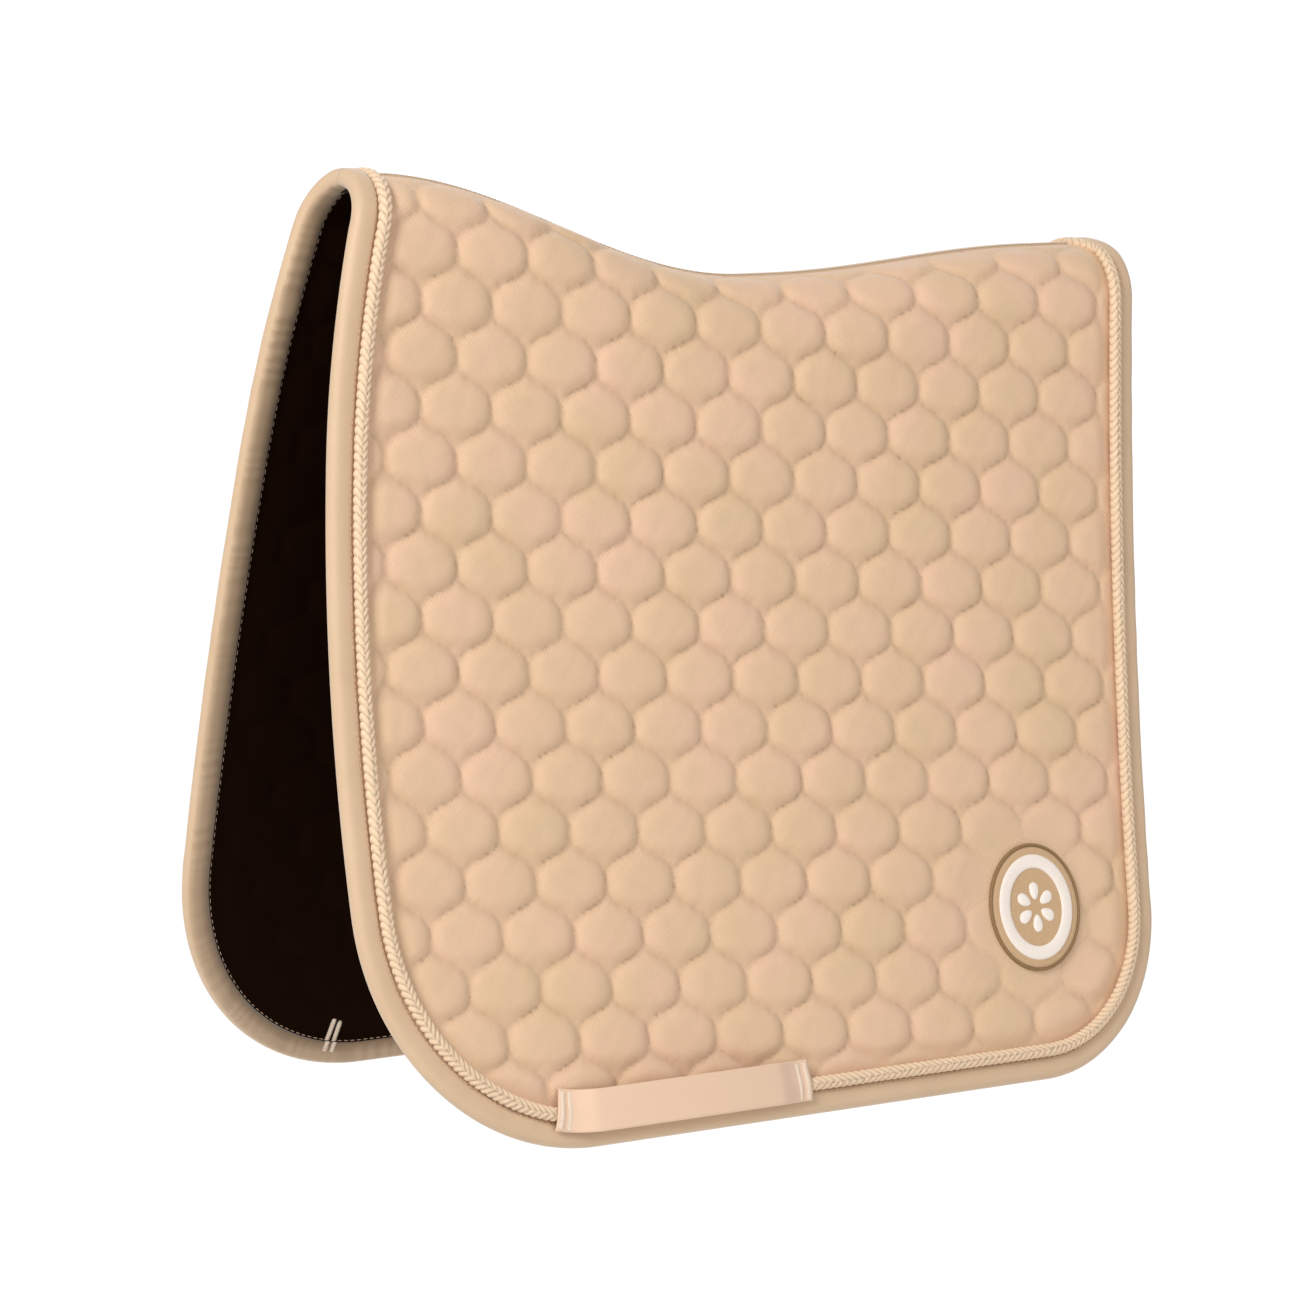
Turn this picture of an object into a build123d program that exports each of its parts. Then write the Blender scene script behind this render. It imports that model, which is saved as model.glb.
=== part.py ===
from build123d import *

import os
from math import asin, cos, pi, radians, sin, tan

# Dressage saddle pad: a quilted two-sided pad that hangs over a horse's back.
#
# Frame: +X to the rear of the pad, +Y to the off (right) side, +Z up, millimetres.
# Origin: underside of the spine tape at the deepest point of the seam's dip, under the saddle's seat.
# The pad is a crest, which follows the spine, and two flaps, each of which swings on a fold below it.
# Every piece is made for the near (left) side, or across the seam, and the far side mirrors it.
# A depth is measured inwards from the cover's outer face, and what stands out from it has a negative one.

# Layers, from the outer face inwards
cover_thickness = 1.5
filling_thickness = 6.3
lining_thickness = 1.5
tape_thickness = 1.0
layer_gap = 0.1

# Spine seam, seen from the side
front_run = 299.0  # origin to the seam's front end
rear_run = 258.0  # origin to the seam's rear end
wither_rise = 64.0  # front of the seam above its dip
wither_crown = 14.0  # level stretch of the seam behind its front end
wither_fall = 265.0  # length over which the seam falls to the dip
cantle_rise = 12.0  # rear of the seam above its dip
cantle_climb = 200.0  # length over which the seam climbs again
seam_gap = 0.1  # near half to far half

# Outline, seen from the side
drop = 461.0  # origin to the level of the front corner
forward_cut = 51.0  # front edge forward of the seam's front end
straight_rise = 140.0  # top of the front edge's straight stretch above the level of the front corner
shoulder_cut = 36.0  # front edge forward of the seam's front end, where its two curves meet
shoulder_drop = 81.0  # origin to where those curves meet
rear_lean = 6.0  # degrees that the rear edge leans back towards the seam
bottom_fall = 1.4  # degrees that the bottom edge falls to the rear
front_corner_radius = 140.0
rear_corner_radius = 100.0

# Cross-section
fold_drop = 33.0  # origin to the fold line
fold_half_width = 44.0  # outer face at the fold line, from the centre plane
fold_angle = 7.5  # degrees from the vertical, at the fold line
flare_radius = 3200.0  # the flap's gentle outward sweep

# Fold clearance, which lets a flap lift to the horizontal and swing in to meet the other one
fold_gap = 0.3
notch_out = 44.0  # degrees that each side of the fold is cut back outside the cover
notch_in = 9.0  # degrees that each side of the fold is cut back inside the cover

# Edge trim
binding_width = 13.0
binding_thickness = 1.2
cord_width = 8.0
cord_height = 5.0
cord_gap = 0.3  # binding to cord, and cord to the seam's band

# Spine seam trim
band_width = 9.0
band_thickness = 0.8
tape_width = 24.0

# Girth loop, on each flap
loop_length = 181.0
loop_front = 52.0  # loop's front end behind the seam's front end
loop_width = 24.0
loop_rise = 20.0  # loop's middle above the bottom edge
loop_tab = 12.0  # sewn length at each end
loop_bow = 12.0  # slack in the middle
webbing_thickness = 1.6
loop_gap = 0.3  # loop's tabs to the cord that they cross

# Bar tacks: bars of thread across the sewn ends of the girth loop
tack_length = 20.0
tack_width = 1.6
tack_height = 0.7
tack_inset = 3.0  # first bar from the end of the webbing
tack_pitch = 5.0
tacks_per_end = 2

# Badge on the near flap
badge_length = 70.0
badge_height = 79.0
badge_from_rear = 96.0  # badge's middle ahead of the rear edge
badge_rise = 103.0  # badge's middle above the bottom edge
badge_thickness = 1.6
badge_rim_width = 7.0
badge_rim_inset = 6.0
badge_rim_height = 0.9
petal_count = 6
petal_reach = 15.0
petal_width = 7.0
petal_gap = 4.5  # petals to the middle of the badge

# Stations along the seam that shape the crest
station_count = 15
station_margin = 12.0  # first and last station beyond the pad's ends
section_tail = 20.0  # crest sections below the fold line, before the fold's cut
reach = 1000.0  # size of the cutting solids, larger than the pad

pad_thickness = cover_thickness + filling_thickness + lining_thickness + 2 * layer_gap
dip_height = pad_thickness + layer_gap + tape_thickness
wither_height = dip_height + wither_rise
front_x = -front_run - forward_cut
lean = radians(fold_angle)
fold_out = Vector(-cos(lean), sin(lean))  # outward from the near fold, in the section's plane
fold_down = Vector(-sin(lean), -cos(lean))
fold_point = Vector(-fold_half_width, -fold_drop)
flare_centre = fold_point + fold_out * flare_radius


# Outline ---------------------------------------------------------------------------------------------


def bottom_edge(x):
    """Height of the straight bottom edge at x."""
    return -drop - (x - front_x) * tan(radians(bottom_fall))


def rear_edge(z):
    """Place of the straight rear edge along X, at height z."""
    return rear_run + z * tan(radians(rear_lean))


def side_outline():
    """The pad from the side, up to a level top above the seam, where the crest's sections end it."""
    top = 1.5 * wither_height
    foot = -1.2 * drop
    upright = Line((front_x, foot), (front_x, straight_rise - drop))
    lower = TangentArc(upright @ 1, (-front_run - shoulder_cut, -shoulder_drop), tangent=upright % 1)
    upper = TangentArc(lower @ 1, (-front_run, wither_height), tangent=lower % 1)
    lead = Line(upper @ 1, upper @ 1 + (upper % 1) * (top - wither_height))
    rear = Line((rear_edge(top), (lead @ 1).Y), (rear_edge(foot), foot))
    closing = [Line(lead @ 1, rear @ 0), rear, Line(rear @ 1, upright @ 0)]
    shape = make_face(Curve() + [upright, lower, upper, lead] + closing)
    below = Pos(front_x, -drop) * Rot(0, 0, -bottom_fall) * Pos(0, -reach / 2) * Rectangle(2 * reach, reach)
    shape -= below
    front_corner, rear_corner = shape.vertices().sort_by(Axis.Y)[:2].sort_by(Axis.X)
    shape = fillet(front_corner, front_corner_radius)
    rear_corner = shape.vertices().sort_by_distance(Vertex(rear_corner.X, rear_corner.Y, 0))[0]
    return fillet(rear_corner, rear_corner_radius)


outline = side_outline()


def inset(amount):
    """The whole pad seen from the side, less a border, as a block across it."""
    shape = offset(outline, amount=-amount) if amount else outline
    return extrude(Plane.XZ * shape, amount=reach / 2, both=True)


def border(start, width):
    """A strip of the outline that runs round the pad, from start to start + width inside its edge."""
    return inset(start) - inset(start + width)


# Cross-sections ---------------------------------------------------------------------------------------


def seam_height(x):
    """Outer face of the seam above the origin, at x."""
    fall = min(max((x + front_run - wither_crown) / wither_fall, 0.0), 1.0)
    climb = min(max(x / cantle_climb, 0.0), 1.0)
    return dip_height + wither_rise * (1 + cos(pi * fall)) / 2 + cantle_rise * (1 - cos(pi * climb)) / 2


def crest_section(x, shallow, deep):
    """Half of the arch at x, between two depths: a straight side that turns into a round top."""
    height = seam_height(x)
    radius = (fold_half_width * cos(lean) - (height + fold_drop) * sin(lean)) / (1 - sin(lean))
    centre = Vector(0, height - radius)
    tails = [fold_point - fold_out * depth + fold_down * section_tail for depth in (shallow, deep)]
    turns = [centre + fold_out * (radius - depth) for depth in (shallow, deep)]
    tops = [centre + Vector(0, radius - depth) for depth in (shallow, deep)]
    outer = [Line(tails[0], turns[0]), TangentArc(turns[0], tops[0], tangent=-fold_down)]
    inner = [TangentArc(turns[1], tops[1], tangent=-fold_down), Line(turns[1], tails[1])]
    shape = make_face(Curve() + outer + [Line(tops[0], tops[1])] + inner + [Line(tails[1], tails[0])])
    return Plane((x, 0, 0), x_dir=(0, 1, 0), z_dir=(1, 0, 0)) * shape


def crest_layer(shallow, deep):
    """Near half of the crest between two depths, before its ends and its fold are cut."""
    start, end = front_x - station_margin, rear_run + station_margin
    stations = [start + (end - start) * i / (station_count - 1) for i in range(station_count)]
    return loft([crest_section(x, shallow, deep).face() for x in stations])


def flap_layer(shallow, deep):
    """Near flap between two depths, before its edges and its fold are cut."""
    ring = Circle(flare_radius + deep) - Circle(flare_radius + shallow)
    ring = Pos(flare_centre.X, flare_centre.Y) * ring
    near_fold = Pos(fold_point.X, fold_point.Y) * Rectangle(reach, 2 * reach)
    return extrude(Plane.YZ * (ring & near_fold), amount=reach, both=True)


def fold_side(way):
    """Room on one side of the near fold: way is 1 below it and -1 above it."""
    along = fold_down * way
    tip = fold_point + fold_out * layer_gap / 2 + along * fold_gap / 2
    inward = fold_out * -cos(radians(notch_in)) + along * sin(radians(notch_in))
    outward = fold_out * cos(radians(notch_out)) + along * sin(radians(notch_out))
    corners = [tip, tip + inward * reach, tip + (inward + along) * reach, tip + (outward + along) * reach]
    room = make_face(Polyline(*corners, tip + outward * reach, tip))
    return extrude(Plane.YZ * room, amount=reach, both=True)


above_fold = fold_side(-1)
below_fold = fold_side(1)
near_half = Pos(0, -reach / 2 - seam_gap / 2, 0) * Box(2 * reach, reach, 2 * reach)


def far(piece):
    """The far side's copy of a near piece."""
    return mirror(piece, about=Plane.XZ)


# Quilted body: cover, filling and lining of each half, cut at the fold --------------------------------

panel = inset(binding_thickness + layer_gap)
crest_room = above_fold & near_half & panel
flap_room = below_fold & panel
filling_depth = cover_thickness + layer_gap
lining_depth = filling_depth + filling_thickness + layer_gap
layers = {
    "cover": (0, cover_thickness),
    "filling": (filling_depth, filling_depth + filling_thickness),
    "lining": (lining_depth, lining_depth + lining_thickness),
}
near_pieces = {}
pieces = {}
for layer, depths in layers.items():
    near_pieces[f"crest_{layer}"] = crest_layer(*depths) & crest_room
    near_pieces[f"flap_{layer}"] = flap_layer(*depths) & flap_room

# Edge binding: a folded strip that wraps round the pad's edge -----------------------------------------

binding_border = border(0, binding_width)
binding_depths = (-layer_gap - binding_thickness, pad_thickness + layer_gap + binding_thickness)
core_depths = (-layer_gap, pad_thickness + layer_gap)
core = inset(binding_thickness)
crest_strip = crest_layer(*binding_depths) & above_fold & binding_border
crest_strip -= crest_layer(*core_depths) & core
crest_strip += far(crest_strip)
flap_strip = flap_layer(*binding_depths) & below_fold & binding_border
near_pieces["flap_binding"] = flap_strip - (flap_layer(*core_depths) & core)
ends = crest_strip.solids().sort_by(Axis.X)
pieces["front_crest_binding"] = Compound(ends[:1])
pieces["rear_crest_binding"] = Compound(ends[-1:])

# Braided cord, sewn on just inside the binding --------------------------------------------------------

cord_start = binding_width + cord_gap
cord_border = border(cord_start, cord_width)
cord_depths = (-layer_gap - cord_height, -layer_gap)
near_pieces["crest_cords"] = crest_layer(*cord_depths) & above_fold & near_half & cord_border
near_pieces["flap_cord"] = flap_layer(*cord_depths) & below_fold & cord_border

# Spine seam: a band over it, and a tape that covers it inside -----------------------------------------


def spine_strip(shallow, deep, width, end_inset):
    """A strip along the seam, between two depths."""
    half = crest_layer(shallow, deep)
    room = Box(2 * reach, width, 2 * reach) & inset(end_inset)
    return (half + far(half)) & room


band_inset = cord_start + cord_width + cord_gap
pieces["spine_seam_band"] = spine_strip(-layer_gap - band_thickness, -layer_gap, band_width, band_inset)
tape_depth = pad_thickness + layer_gap
pieces["spine_tape"] = spine_strip(tape_depth, tape_depth + tape_thickness, tape_width, cord_start)

# Girth loop and its bar tacks -------------------------------------------------------------------------


def on_flap(x, z):
    """Plane on the outer face of the near flap: X to the rear, Y up the flap, Z outwards."""
    slope = asin((flare_centre.Y - z) / flare_radius)
    y = flare_centre.X + flare_radius * cos(slope)
    return Plane((x, y, z), x_dir=(1, 0, 0), z_dir=(0, -cos(slope), sin(slope))) * Rot(0, 0, -bottom_fall)


def girth_loop():
    """Webbing that lies over the cord, with a flat tab at each end and slack between them."""
    end, tab = loop_length / 2, loop_length / 2 - loop_tab
    slack = ThreePointArc((-tab, 0), (0, loop_bow), (tab, 0))
    under = [Line((-end, 0), (-tab, 0)), slack, Line((tab, 0), (end, 0))]
    upper = [Pos(0, webbing_thickness) * edge for edge in under]
    sides = [Line((x, 0), (x, webbing_thickness)) for x in (-end, end)]
    shape = make_face(Curve() + under + upper + sides)
    return extrude(Plane.XZ * shape, amount=loop_width / 2, both=True)


def bar_tacks():
    """Bars of thread across both tabs of the webbing."""
    first = loop_length / 2 - tack_inset
    bar = Box(tack_width, tack_length, tack_height, align=(Align.CENTER, Align.CENTER, Align.MIN))
    places = [way * (first - i * tack_pitch) for way in (-1, 1) for i in range(tacks_per_end)]
    return Compound([Pos(x, 0, webbing_thickness + layer_gap) * bar for x in places])


loop_x = -front_run + loop_front + loop_length / 2
loop_lift = layer_gap + cord_height + loop_gap
loop_place = on_flap(loop_x, bottom_edge(loop_x) + loop_rise) * Pos(0, 0, loop_lift)
near_pieces["girth_loop"] = loop_place * girth_loop()
near_pieces["loop_bar_tacks"] = loop_place * bar_tacks()

# Badge: an oval patch with a raised rim and a flower of petals ----------------------------------------


def badge_oval(margin, height):
    """An oval plate, a margin smaller all round than the patch."""
    shape = Ellipse(badge_length / 2 - margin, badge_height / 2 - margin)
    return extrude(shape, amount=height)


petal_length = petal_reach - petal_gap
petal = Pos(petal_gap + petal_length / 2, 0) * Ellipse(petal_length / 2, petal_width / 2)
raised_petal = extrude(petal, amount=badge_rim_height)
flower = [Rot(0, 0, 90 + 360 * i / petal_count) * raised_petal for i in range(petal_count)]
badge_z = bottom_edge(rear_run) + badge_rise
badge_hollow = badge_height**2 / (8 * flare_radius)  # the flap sinks this far behind the flat patch
badge_place = on_flap(rear_edge(badge_z) - badge_from_rear, badge_z) * Pos(0, 0, badge_hollow + layer_gap)
rim_lift = badge_thickness + layer_gap
rim = badge_oval(badge_rim_inset, badge_rim_height)
rim -= badge_oval(badge_rim_inset + badge_rim_width, badge_rim_height)
pieces["badge_patch"] = badge_place * badge_oval(0, badge_thickness)
pieces["badge_rim"] = badge_place * Pos(0, 0, rim_lift) * rim
pieces["badge_petals"] = badge_place * Pos(0, 0, rim_lift) * Compound(flower)

# Both sides, written one file to a piece --------------------------------------------------------------

for name, piece in near_pieces.items():
    pieces[f"near_{name}"] = piece
    pieces[f"far_{name}"] = far(piece)

os.makedirs("parts", exist_ok=True)
for name, piece in pieces.items():
    export_step(piece, f"parts/{name}.step")
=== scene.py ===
# A quilted dressage saddle pad, built up in the order in which it is sewn.
# Sizes are in millimetres and each mesh is made in metres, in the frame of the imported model.

import math

import bmesh
import bpy
import numpy as np
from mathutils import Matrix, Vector, kdtree


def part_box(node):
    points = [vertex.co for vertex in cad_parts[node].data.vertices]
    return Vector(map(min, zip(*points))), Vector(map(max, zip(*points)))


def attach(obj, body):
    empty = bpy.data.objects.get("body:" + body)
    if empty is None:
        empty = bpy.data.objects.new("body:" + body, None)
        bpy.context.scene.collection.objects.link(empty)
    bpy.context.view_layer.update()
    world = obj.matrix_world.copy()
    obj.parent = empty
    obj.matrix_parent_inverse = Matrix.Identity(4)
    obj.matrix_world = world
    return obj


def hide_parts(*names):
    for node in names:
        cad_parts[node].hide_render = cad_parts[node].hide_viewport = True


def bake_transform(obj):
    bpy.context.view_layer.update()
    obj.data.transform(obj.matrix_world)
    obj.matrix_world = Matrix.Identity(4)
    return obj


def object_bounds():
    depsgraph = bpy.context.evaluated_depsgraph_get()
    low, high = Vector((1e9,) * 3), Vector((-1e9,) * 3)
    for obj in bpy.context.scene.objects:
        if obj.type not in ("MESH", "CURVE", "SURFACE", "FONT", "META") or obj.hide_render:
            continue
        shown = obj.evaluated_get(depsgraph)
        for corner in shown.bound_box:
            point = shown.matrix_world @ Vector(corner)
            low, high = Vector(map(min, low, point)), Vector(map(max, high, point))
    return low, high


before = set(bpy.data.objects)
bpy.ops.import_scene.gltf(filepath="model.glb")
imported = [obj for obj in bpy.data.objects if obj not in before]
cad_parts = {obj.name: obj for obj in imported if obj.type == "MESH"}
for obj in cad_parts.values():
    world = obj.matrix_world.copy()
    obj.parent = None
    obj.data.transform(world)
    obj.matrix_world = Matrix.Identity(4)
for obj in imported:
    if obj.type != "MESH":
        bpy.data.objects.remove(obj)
cad_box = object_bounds()
MM = 0.001

# --------------------------------------------------------------------------------
# Studio: a pale floor far below the pad, a white surround, and broad soft lights. The main light
# comes from above, in front and to the left, so each quilted cell is shaded on its lower right.

camera_data = bpy.data.cameras.new("camera")
camera_data.lens = 118.97
camera_data.sensor_width = 36.0
camera_data.clip_end = 50.0
camera = bpy.data.objects.new("camera", camera_data)
bpy.context.scene.collection.objects.link(camera)
camera.location = (-1.5548, -2.0364, 0.142)
line_of_sight = Vector((0.5794, 0.8031, -0.1392))
camera.rotation_euler = line_of_sight.to_track_quat("-Z", "Y").to_euler()
bpy.context.scene.camera = camera


def linear(hex_colour):
    """sRGB hex to linear RGBA."""
    parts = [int(hex_colour[i : i + 2], 16) / 255 for i in (1, 3, 5)]
    return [c / 12.92 if c <= 0.04045 else ((c + 0.055) / 1.055) ** 2.4 for c in parts] + [1.0]


def node(tree, kind, settings=None, **inputs):
    """Adds a node. An input goes by its name, or by _ and its number: sockets are linked, values are set."""
    made = tree.nodes.new(kind)
    for name, value in (settings or {}).items():
        setattr(made, name, value)
    for name, value in inputs.items():
        socket = made.inputs[int(name[1:])] if name[0] == "_" else made.inputs[name.replace("_", " ")]
        if isinstance(value, bpy.types.NodeSocket):
            tree.links.new(value, socket)
        else:
            socket.default_value = value
    return made


def material(name):
    """A new material with an empty tree, its shader and its output."""
    made = bpy.data.materials.new(name)
    made.use_nodes = True
    made.node_tree.nodes.clear()
    shader = made.node_tree.nodes.new("ShaderNodeBsdfPrincipled")
    node(made.node_tree, "ShaderNodeOutputMaterial", Surface=shader.outputs[0])
    return made, made.node_tree, shader


def with_painted_shade(tree, colour, shade_colour, strength):
    """The colour, darkened towards a shade colour by the piece's painted shade."""
    painted_shade = node(tree, "ShaderNodeAttribute", {"attribute_name": "painted_shade"}).outputs["Fac"]
    share = node(tree, "ShaderNodeMath", {"operation": "MULTIPLY"}, _0=painted_shade, _1=strength).outputs[0]
    mixed = node(tree, "ShaderNodeMix", {"data_type": "RGBA"}, _0=share, _6=colour, _7=linear(shade_colour))
    return mixed.outputs[2]


def area_light(name, place, aim, size, power):
    """A square soft light that faces aim."""
    data = bpy.data.lights.new(name, "AREA")
    data.size = size
    data.energy = power
    light = bpy.data.objects.new(name, data)
    light.location = place
    light.rotation_euler = (Vector(aim) - Vector(place)).to_track_quat("-Z", "Y").to_euler()
    bpy.context.scene.collection.objects.link(light)


pad_middle = (0.0, 0.0, -0.2)
area_light("key_light", (-2.7, -1.0, 1.9), pad_middle, 1.2, 86)
area_light("fill_light", (0.6, -3.2, 0.1), pad_middle, 2.4, 20)
area_light("back_light", (1.6, 2.4, 1.8), pad_middle, 2.4, 20)

surround_light, overexposure = 0.45, 1.05  # what the surround gives off, and how bright it looks itself
world = bpy.data.worlds.new("studio")
world.use_nodes = True
surround = world.node_tree.nodes["Background"]
surround.inputs["Color"].default_value = (1, 1, 1, 1)
seen = node(world.node_tree, "ShaderNodeLightPath").outputs["Is Camera Ray"]
brightness = {"To_Min": surround_light, "To_Max": overexposure}
glow = node(world.node_tree, "ShaderNodeMapRange", Value=seen, **brightness).outputs[0]
world.node_tree.links.new(glow, surround.inputs["Strength"])
bpy.context.scene.world = world
bpy.context.scene.view_settings.view_transform = "Standard"

floor_radius, floor_depth = 14.0, 0.35  # in metres, and below the pad's lowest point
floor_mesh = bmesh.new()
bmesh.ops.create_circle(floor_mesh, cap_ends=True, segments=64, radius=floor_radius)
bmesh.ops.translate(floor_mesh, verts=floor_mesh.verts, vec=(0, 0, cad_box[0][2] - floor_depth))
floor_data = bpy.data.meshes.new("floor")
floor_mesh.to_mesh(floor_data)
floor_mesh.free()
floor = bpy.data.objects.new("floor", floor_data)
bpy.context.scene.collection.objects.link(floor)

# Studio paper: matt and almost white. It is overexposed to the eye, so it shows no horizon, but the
# light that it throws back on the pad is that of plain paper.
paper, tree, shader = material("studio_paper")
shader.inputs["Base Color"].default_value = linear("#fbfbfa")
shader.inputs["Roughness"].default_value = 1.0
seen = node(tree, "ShaderNodeLightPath").outputs["Is Camera Ray"]
lit = node(tree, "ShaderNodeEmission", Strength=overexposure).outputs[0]
overexposed = node(tree, "ShaderNodeMixShader", _0=seen, _1=shader.outputs[0], _2=lit).outputs[0]
tree.links.new(overexposed, tree.nodes["Material Output"].inputs["Surface"])
floor_data.materials.append(paper)

# --------------------------------------------------------------------------------
# Quilted cover: a satin-faced cotton twill over wadding, one panel to a side, from the spine seam
# to the edge. It is quilted in staggered cells whose seams are waves that touch their neighbours,
# and the rows run slightly downhill to the rear.

front_run, rear_run = 299.0, 258.0  # origin to the seam's front and rear ends
dip_height = 10.6  # outer face above the origin at the seam's dip
wither_rise, wither_crown, wither_fall = 64.0, 14.0, 265.0  # climb to the withers, level top, length
cantle_rise, cantle_climb = 12.0, 200.0  # climb towards the rear, and its length
drop, bottom_fall = 461.0, math.radians(1.4)  # origin to the bottom edge's front, and the fall of that edge
front_x = -350.0  # the front edge's straight stretch
shoulder = (-335.0, -81.0)  # where the front edge's two curves meet
straight_top = -321.0  # upper end of the front edge's straight stretch
rear_lean = math.radians(6.0)  # how far the rear edge leans towards the seam
front_corner_radius, rear_corner_radius = 140.0, 100.0
rear_top_radius, rear_top_depth = 10.0, 8.0  # rounding where the rear edge meets the seam
spare = 60.0  # how far the outline runs on above the seam's ends
fold_height, fold_half_width = -33.0, 44.0
fold_lean, flare_radius = math.radians(7.5), 3200.0  # slant at the fold, and the flap's outward sweep
sides = {"near": -1.0, "far": 1.0}


def seam_height(x):
    """Outer face of the spine seam above the origin."""
    fall = np.clip((x + front_run - wither_crown) / wither_fall, 0, 1)
    climb = np.clip(x / cantle_climb, 0, 1)
    withers = wither_rise * (1 + np.cos(np.pi * fall)) / 2
    return dip_height + withers + cantle_rise * (1 - np.cos(np.pi * climb)) / 2


def arch(x):
    """Radius of the crest's round top, the height of its centre, and the length of its straight side."""
    slant, upright = math.sin(fold_lean), math.cos(fold_lean)
    rise = seam_height(x) - fold_height
    radius = (fold_half_width * upright - rise * slant) / (1 - slant)
    centre = seam_height(x) - radius
    return radius, centre, (centre + radius * slant - fold_height) / upright


def seam_run(x):
    """Distance over the surface from the fold line up to the seam."""
    radius, _, straight = arch(x)
    return straight + radius * (math.pi / 2 - fold_lean)


def on_pad(x, down, out, side):
    """Points in metres, from the place along the back, down from the fold, and the height off the face."""
    radius, centre, straight = arch(x)
    swing = np.where(down > 0, fold_lean + down / flare_radius, fold_lean)
    turn = fold_lean + np.maximum(-down - straight, 0) / radius
    angle = np.where(down > 0, swing, turn)
    up = np.clip(-down, 0, straight)
    flap_y = -fold_half_width - flare_radius * math.cos(fold_lean) + (flare_radius - out) * np.cos(angle)
    flap_z = fold_height + flare_radius * math.sin(fold_lean) - (flare_radius - out) * np.sin(angle)
    side_y = -fold_half_width + up * math.sin(fold_lean) - out * math.cos(fold_lean)
    side_z = fold_height + up * math.cos(fold_lean) + out * math.sin(fold_lean)
    top_y = -(radius + out) * np.cos(angle)
    top_z = centre + (radius + out) * np.sin(angle)
    y = np.where(down > 0, flap_y, np.where(-down < straight, side_y, top_y))
    z = np.where(down > 0, flap_z, np.where(-down < straight, side_z, top_z))
    return np.stack([x, -side * y, z], -1) * MM


def down_at(x, z):
    """Distance down from the fold of the outer face's points at x and z."""
    radius, centre, straight = arch(x)
    sweep_centre = fold_height + flare_radius * math.sin(fold_lean)
    flap = flare_radius * (np.arcsin((sweep_centre - z) / flare_radius) - fold_lean)
    top = straight + radius * (np.arcsin(np.clip((z - centre) / radius, -1, 1)) - fold_lean)
    crest = np.where(z < centre + radius * math.sin(fold_lean), (z - fold_height) / math.cos(fold_lean), top)
    return np.where(z < fold_height, flap, -crest)


def arc(start, heading, end, step=1.0):
    """Points of the circle that leaves start along heading and passes through end, and its last heading."""
    start, end = np.array(start), np.array(end)
    heading = np.array(heading) / np.hypot(*heading)
    chord = end - start
    bend = math.atan2(heading[0] * chord[1] - heading[1] * chord[0], heading @ chord)
    radius = np.hypot(*chord) / (2 * math.sin(bend))
    count = max(4, int(abs(2 * bend * radius) / step))
    turns = np.linspace(0, 2 * bend, count)
    normal = np.array([-heading[1], heading[0]])
    points = start + radius * (np.outer(np.sin(turns), heading) + np.outer(1 - np.cos(turns), normal))
    last = heading * math.cos(2 * bend) + normal * math.sin(2 * bend)
    return points, last


def straight_line(start, end, step=1.0):
    """Points from start to end."""
    count = max(2, int(math.dist(start, end) / step))
    return np.linspace(start, end, count)


def side_outline():
    """The pad's edge from the side, from above the seam's front end, down and round to above its rear end."""
    lower, heading = arc((front_x, straight_top), (0, 1), shoulder)
    upper, heading = arc(shoulder, heading, (-front_run, float(seam_height(-front_run))))
    lead = straight_line(upper[-1], upper[-1] + heading * spare)
    curves = np.concatenate([lower, upper[1:], lead[1:]])[::-1]
    turn = math.pi / 2 - bottom_fall
    near_reach = front_corner_radius * math.tan(turn / 2)
    corner_top = (front_x, -drop + near_reach)
    corner_end = (front_x + near_reach * math.cos(bottom_fall), -drop - near_reach * math.sin(bottom_fall))
    front_corner, _ = arc(corner_top, (0, -1), corner_end)
    slope, lean = math.tan(bottom_fall), math.tan(rear_lean)
    meet_z = (-drop - (rear_run - front_x) * slope) / (1 + slope * lean)
    meet_x = rear_run + meet_z * lean
    turn = math.pi / 2 - rear_lean + bottom_fall
    far_reach = rear_corner_radius * math.tan(turn / 2)
    rear_start = (meet_x - far_reach * math.cos(bottom_fall), meet_z + far_reach * math.sin(bottom_fall))
    rear_end = (meet_x + far_reach * math.sin(rear_lean), meet_z + far_reach * math.cos(rear_lean))
    rear_corner, _ = arc(rear_start, (math.cos(bottom_fall), -math.sin(bottom_fall)), rear_end)
    seam_end = float(seam_height(rear_run))
    top = seam_end + spare
    rear = straight_line(rear_end, (rear_run + top * lean, top))
    rounding = np.clip(rear[:, 1] - (seam_end - rear_top_depth), 0, rear_top_depth)
    rear[:, 0] -= rear_top_radius - np.sqrt(rear_top_radius**2 - rounding**2)
    front = straight_line(curves[-1], front_corner[0])
    bottom = straight_line(front_corner[-1], rear_corner[0])
    stretches = (front, front_corner, bottom, rear_corner, rear)
    return np.concatenate([curves] + [stretch[1:] for stretch in stretches])


outline = side_outline()
heading = np.gradient(outline, axis=0)
heading /= np.hypot(*heading.T)[:, None]
inward = np.stack([-heading[:, 1], heading[:, 0]], -1)
outline_tree = kdtree.KDTree(len(outline))
for index, point in enumerate(outline):
    outline_tree.insert((point[0], point[1], 0), index)
outline_tree.balance()


def edge_distance(x, z):
    """How far points seen from the side lie inside the pad's edge."""
    found = np.array([outline_tree.find((a, b, 0))[1] for a, b in zip(x, z)])
    away = np.stack([x, z], -1) - outline[found]
    return np.hypot(*away.T) * np.sign((away * inward[found]).sum(-1))


def ease(value, low, high):
    """0 below low, 1 above high, and a smooth step between them."""
    t = np.clip((value - low) / (high - low), 0, 1)
    return t * t * (3 - 2 * t)


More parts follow.
